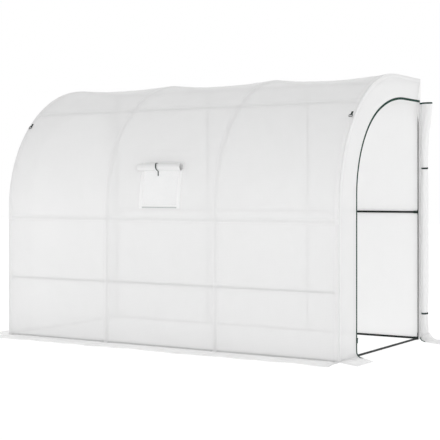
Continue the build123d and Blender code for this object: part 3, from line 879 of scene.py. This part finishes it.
def footPoint(v, t):
    # t runs out from the roll to the flap's end, v from its back edge round to its front edge
    angle = math.radians(lerp(footLook["wrapFrom"], footLook["wrapTo"], v))
    girth = rollLook["radius"] + footLook["gap"]
    root = Vector((rollX + girth * math.cos(angle), rollY + girth * math.sin(angle)))
    bend = Vector((hoopXs[-1] + lerp(footLook["heel"], footLook["waistReach"], v),
                   postY - footLook["waistForward"] * v))
    end = Vector((hoopXs[-1] + footLook["reach"], postY - lerp(footLook["side"], footLook["forward"], v)))
    pull = 2 * bend - (root + end) / 2
    spot = root * (1 - t) ** 2 + pull * (2 * t * (1 - t)) + end * t * t
    rise = lerp(*footLook["rise"], v) * max(0.0, 1 - t / lerp(*footLook["run"], v)) ** 2
    wave = footLook["wave"] * (footLook["waveMean"] + waves(footLook["waves"], spot.x, spot.y))
    wave = max(wave * ease(t * footLook["waveRise"]), 0)
    wave *= ease((1 - t) * footLook["endFall"] + footLook["endKeep"])
    return (spot.x, spot.y, rollLow + footLook["lie"] + rise + wave)


rightFoot = gridPiece("rightDoorFoot", stops((1.0, 0), (0.0, 30)), stops((0.0, 0), (0.4, 18), (1.0, 20)),
                      footPoint, lambda v, t: (v * footLook["long"], t * footLook["long"]))
thicken(rightFoot, footLook["film"])
dress(rightFoot, looseFilm)


def footEdge(turn, t):
    # a zip cord round the foot's front edge; its dark tape also paints the shade in the crease under that
    # edge
    spot = Vector(footPoint(1.0, t))
    ahead = Vector(footPoint(1.0, t + footLook["cordStep"])) - spot
    up = Vector((0, 0, 1))
    side = ahead.cross(up).normalized()
    ends = min(t - footLook["cordFrom"], footLook["cordTo"] - t) / footLook["cordTaper"]
    radius = footLook["cordRadius"] * lerp(footLook["cordTip"], 1.0, ease(ends))
    return spot + side * (radius * math.cos(turn)) + up * (radius * (1 + math.sin(turn)) - footLook["film"])


footZipAndShade = gridPiece("footZipAndShade", stops((2 * math.pi, 0), (0.0, 10)),
                    stops((footLook["cordFrom"], 0), (footLook["cordTo"], 40)), footEdge,
                    lambda turn, t: (turn * footLook["cordRadius"], t * footLook["long"]))
pick(footZipAndShade)
bpy.ops.object.shade_smooth()
topZip = rollZip("topZip", stops((0.0, 0), (rollLook["zipTurns"], 60)), stops((headLow, 0), (rollHigh, 3)))
rightDoorZip = joined("rightDoorZip", [topZip, footZipAndShade])
# the dark zip tape on the foot's cord also stands for the shade in the crease under the foot's edge: painted
# shade
dress(rightDoorZip, zipTape)

# the film between the post's seam and the roll, which pays out as the door closes, with the zip at its top
payOut = {"head": 2.375, "lean": 1.02, "neck": 0.0016}
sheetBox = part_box("right_door_sheet")
sheetX0, sheetX1 = sheetBox[0][0], sheetBox[1][0]
rightSheet = gridPiece("rightDoorSheet", stops((sheetX0, 0), (sheetX1, 64)),
                       stops((sheetBox[0][2], 0), (headLow, 60)), lambda x, z: (x, sheetBox[0][1], z))
thicken(rightSheet, sheetBox[1][1] - sheetBox[0][1])
dress(rightSheet, looseFilm)
rightNeck = gridPiece("rightNeckZip", stops((sheetX0, 0), (sheetX1, 24)), stops((headLow, 0), (rollHigh, 3)),
                      lambda x, z: (x, sheetBox[0][1] - payOut["neck"], z))
thicken(rightNeck, rollLook["zipThick"])
dress(rightNeck, zipTape)

# ties: a webbing loop round the roll, lapped over itself
tieLook = {"gap": 0.0008, "thick": 0.0009, "lap": 0.0009, "lapTurn": 1.06, "lapFrom": -50.0, "lapStart": 0.9,
           "lapRun": 0.1, "slack": 0.0006, "slackWaves": 3, "tilt": 0.002}


def tieBand(name, z):
    half = rollLook["tieTall"] / 2
    radius = rollLook["pinch"] + tieLook["gap"]

    def place(v, turn):
        angle = math.radians(tieLook["lapFrom"]) - turn * 2 * math.pi
        reach = radius + tieLook["lap"] * ease((turn - tieLook["lapStart"]) / tieLook["lapRun"])
        reach += tieLook["slack"] * math.sin(angle * tieLook["slackWaves"])
        return (rollX + reach * math.cos(angle), rollY + reach * math.sin(angle),
                z + v * half + tieLook["tilt"] * math.sin(angle))

    band = gridPiece(name, stops((1.0, 0), (-1.0, 3)), stops((0.0, 0), (tieLook["lapTurn"], 56)), place,
                     lambda v, turn: (v * half, turn * 2 * math.pi * radius))
    thicken(band, tieLook["thick"])
    return band


rightTies = joined("rightDoorTies", [tieBand("lowTie", tieLow), tieBand("highTie", tieHigh)])
dress(rightTies, darkWebbing)

for side, sign in (("right", 1), ("left", -1)):
    pieces = (rightRoll, rightDoorZip, rightFoot, rightSheet, rightNeck, rightTies)
    if side == "left":
        pieces = [mirrored(piece) for piece in pieces]
    roll, doorZipAndShade, foot, sheet, neck, ties = pieces
    door = f"{side}_door"
    for piece in (roll, doorZipAndShade):
        # the arch stops the top of the door sooner than its foot
        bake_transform(piece)
    start = Vector((sign * sheetX0, sheetBox[0][1], 0))
    for piece in (sheet, neck):
        tuple(start)
        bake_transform(piece)
    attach(foot, door)
    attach(ties, door)
    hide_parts(f"{side}_door_roll")
    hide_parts(f"{side}_door_sheet")
    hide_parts(f"{side}_door_ties")

# Window: a bound border on the film, a net, a rolled flap above it and a closing strip below
windowLook = {"lift": 0.0003, "border": 0.0015, "crown": 0.0012, "round": 0.004, "pucker": 0.0004,
              "stitch": 0.007, "binding": 0.0006, "netColumns": 60, "netRows": 56, "thread": 0.0019}
lowTurn = math.asin((windowBox[0][2] - bendZ) / (borderR + windowLook["lift"]))
highTurn = math.asin((windowBox[1][2] - bendZ) / (borderR + windowLook["lift"] + windowLook["border"]))
holeLow, holeHigh = (holeLowS - bendZ) / bendR, (holeHighS - bendZ) / bendR


def onCloth(radius):
    # cloth round the bend, laid out in metres
    return lambda x, turn: (x, turn * radius)


def borderPoint(x, turn):
    edge = min(borderHalf - abs(x), (turn - lowTurn) * borderR, (highTurn - turn) * borderR)
    rise = windowLook["crown"] * math.sqrt(max(0.0, 1 - (1 - min(edge / windowLook["round"], 1.0)) ** 2))
    pucker = windowLook["pucker"] * math.sin((x + turn * borderR) / windowLook["stitch"])
    return onBend(borderR + windowLook["lift"] + rise + pucker, turn, x)


border = gridPiece("windowBorder", stops((-borderHalf, 0), (-netHalf, 12), (netHalf, 60), (borderHalf, 12)),
                   stops((lowTurn, 0), (holeLow, 12), (holeHigh, 56), (highTurn, 12)), borderPoint,
                   onCloth(borderR))
cutFaces(border, inNet)
thicken(border, windowLook["binding"])
dress(border, boundFilm)
fitted(border, "root", "window_border")

netR = borderR - film / 2
net = gridPiece("windowNet", stops((-netHalf, 0), (netHalf, windowLook["netColumns"])),
                stops((holeLow, 0), (holeHigh, windowLook["netRows"])), lambda x, turn: onBend(netR, turn, x),
                onCloth(netR))
useModifier(net, "WIREFRAME", thickness=windowLook["thread"], use_even_offset=False)
dress(net, netThread)
fitted(net, "root", "window_net")

stripLook = {"lift": 0.0021, "thick": 0.0009, "rough": 0.0003, "loopSize": 0.01}
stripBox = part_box("window_strip")
stripR = borderR + stripLook["lift"]
stripLow, stripHigh = [math.asin((stripBox[k][2] - bendZ) / stripR) for k in (0, 1)]


def stripPoint(x, turn):
    return onBend(stripR + ripple((x, turn, 0), stripLook["loopSize"], stripLook["rough"]), turn, x)


strip = gridPiece("windowStrip", stops((-netHalf, 0), (netHalf, 80)), stops((stripLow, 0), (stripHigh, 6)),
                  stripPoint, onCloth(stripR))
thicken(strip, stripLook["thick"])
dress(strip, greyLoop)
fitted(strip, "root", "window_strip")

# the flap, wound up above the net
flapLook = {"radius": 0.031, "turns": 2.3, "core": 0.74, "film": 0.0011, "inset": 0.0019, "endTurn": 20.0,
            "droop": 0.0025, "loose": 0.03, "looseLong": 2, "looseRound": 0.3, "looseSize": 0.25,
            "sheet": 0.001}
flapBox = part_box("window_flap_roll")
flapHalf = flapBox[1][0]
flapY, flapZ = middle("window_flap_roll", 1), flapBox[1][2] - flapLook["radius"]
flapTurn = math.atan2(flapZ - bendZ, bendY - flapY)


def flapPoint(turn, x):
    angle = math.radians(flapLook["endTurn"]) - turn * 2 * math.pi
    share = lerp(1.0, flapLook["core"], turn / flapLook["turns"])
    onRound = (x * flapLook["looseLong"], math.cos(angle) * flapLook["looseRound"],
               math.sin(angle) * flapLook["looseRound"])
    loose = 1 + ripple(onRound, flapLook["looseSize"], flapLook["loose"])
    radius = (flapLook["radius"] - flapLook["inset"]) * share * min(loose, 1.0)
    droop = flapLook["droop"] * (x / flapHalf) ** 2
    return (x, flapY + radius * math.cos(angle), flapZ - droop + radius * math.sin(angle))


flapPitch = math.pi * flapLook["radius"] * (1 + flapLook["core"])
flapRoll = gridPiece("windowFlapRoll", stops((0.0, 0), (flapLook["turns"], 96)),
                     stops((-flapHalf, 0), (flapHalf, 44)), flapPoint, lambda turn, x: (turn * flapPitch, x))
thicken(flapRoll, flapLook["film"])
dress(flapRoll, woundFilm)
fitted(flapRoll, "window_flap", "window_flap_roll")

# the film between the seam above the window and the roll, which pays out as the flap comes down
flapSheetR = borderR + 2 * windowLook["lift"] + windowLook["border"]
flapSheet = gridPiece("windowFlapSheet", stops((-borderHalf, 0), (borderHalf, 48)),
                      stops((flapTurn, 0), (highTurn, 24)), lambda x, turn: onBend(flapSheetR, turn, x),
                      onCloth(flapSheetR))
thicken(flapSheet, flapLook["sheet"])
dress(flapSheet, weldedFilm)
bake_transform(flapSheet)
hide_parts("window_flap_sheet")

# a webbing tie round the rolled flap, with its tail hanging in a loose S
windowTie = {"wide": 0.009, "thick": 0.0014, "gap": 0.0006, "from": 60.0, "to": 262.0, "tail": 0.038}
tieSway = [(0.0, -0.030), (0.15, -0.028), (0.6, -0.019), (1.05, -0.014), (2.0, -0.013)]


def windowTiePoint(v, t):
    # t runs from behind the top of the roll over its front to 1, and down into the tail to 2
    radius = flapLook["radius"] + windowTie["gap"]
    angle = math.radians(lerp(windowTie["from"], windowTie["to"], min(t, 1.0)))
    drop = windowTie["tail"] * max(t - 1, 0.0)
    return (v * windowTie["wide"] / 2 + curveAt(tieSway, t), flapY + radius * math.cos(angle),
            flapZ + radius * math.sin(angle) - drop)


tie = gridPiece("windowTie", stops((-1.0, 0), (1.0, 3)), stops((0.0, 0), (1.0, 40), (2.0, 16)),
                windowTiePoint, lambda v, t: (v * windowTie["wide"] / 2, t * math.pi * flapLook["radius"]))
thicken(tie, windowTie["thick"])
dress(tie, darkWebbing)
fitted(tie, "window_flap", "window_tie")
print("window made")

# The frame's own nodes, by the ends of their names. The rest are steel tubes.
nodeLooks = {
    ("_connectors",): greenPlastic,
    ("zip_slider", "zip_pull"): sliderPlastic,
    ("guy_ring",): ringCoat,
    ("zip_tape",): zipTape,
    ("door_ties", "window_tie", "guy_tabs"): tabWebbing,
    ("window_strip",): greyLoop,
    ("window_net",): netThread,
    ("main_cover", "back_cover", "end_panel", "door_roll", "door_sheet", "window_border", "window_flap_roll",
     "window_flap_sheet"): weldedFilm,
}
for name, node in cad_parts.items():
    dress(node, next((look for ends, look in nodeLooks.items() if name.endswith(ends)), paintedSteel))
print("frame dressed")
